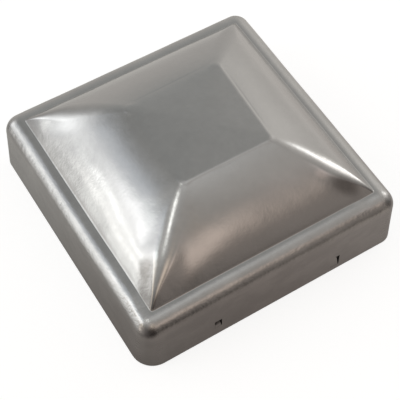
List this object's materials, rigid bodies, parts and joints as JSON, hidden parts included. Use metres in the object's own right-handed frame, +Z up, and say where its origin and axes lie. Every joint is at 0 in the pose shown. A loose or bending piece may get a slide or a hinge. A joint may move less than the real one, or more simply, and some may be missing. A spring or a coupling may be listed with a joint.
{
  "type": "fence post cap",
  "caption": "Pressed steel cap for a square fence post: shallow flat-topped pyramid inside a rolled shoulder, with a plain skirt and small lanced grip barbs.",
  "frame": {"origin": "centre of the post socket, on the plane of the skirt's lower edge", "axes": "+Z up through the crown; +Y towards the rear wall, so that the front wall, with two of the barbs, faces -Y; +X to the right seen from the front"},
  "size_m": [0.1066, 0.1066, 0.0462],
  "materials": {
    "pressed_steel": "bare as-pressed sheet steel, satin with soft blurred reflections, faint draw marks and handling smudges",
    "sheared_steel": "bare sheet steel, satin faces with rougher sheared edges"
  },
  "bodies": {
    "cap": {"cap_shell": "pressed_steel"},
    "barb_front_left": {"grip_barb_front_left": "sheared_steel"},
    "barb_front_right": {"grip_barb_front_right": "sheared_steel"},
    "barb_rear_left": {"grip_barb_rear_left": "sheared_steel"},
    "barb_rear_right": {"grip_barb_rear_right": "sheared_steel"}
  },
  "joints": [
    {"name": "barb_front_left_bend", "type": "hinge", "parent": "cap", "child": "barb_front_left", "pos_m": [-0.0232, -0.05234, 0.00503], "axis": [1, 0, 0], "range_deg": [0, 28], "stiffness_Nm_per_rad": 0.0005},
    {"name": "barb_front_right_bend", "type": "hinge", "parent": "cap", "child": "barb_front_right", "pos_m": [0.0258, -0.05244, 0.00263], "axis": [1, 0, 0], "range_deg": [0, 15], "stiffness_Nm_per_rad": 0.0005},
    {"name": "barb_rear_left_bend", "type": "hinge", "parent": "cap", "child": "barb_rear_left", "pos_m": [0.0232, 0.05234, 0.00503], "axis": [-1, 0, 0], "range_deg": [0, 28], "stiffness_Nm_per_rad": 0.0005},
    {"name": "barb_rear_right_bend", "type": "hinge", "parent": "cap", "child": "barb_rear_right", "pos_m": [-0.0258, 0.05244, 0.00263], "axis": [-1, 0, 0], "range_deg": [0, 15], "stiffness_Nm_per_rad": 0.0005}
  ]
}
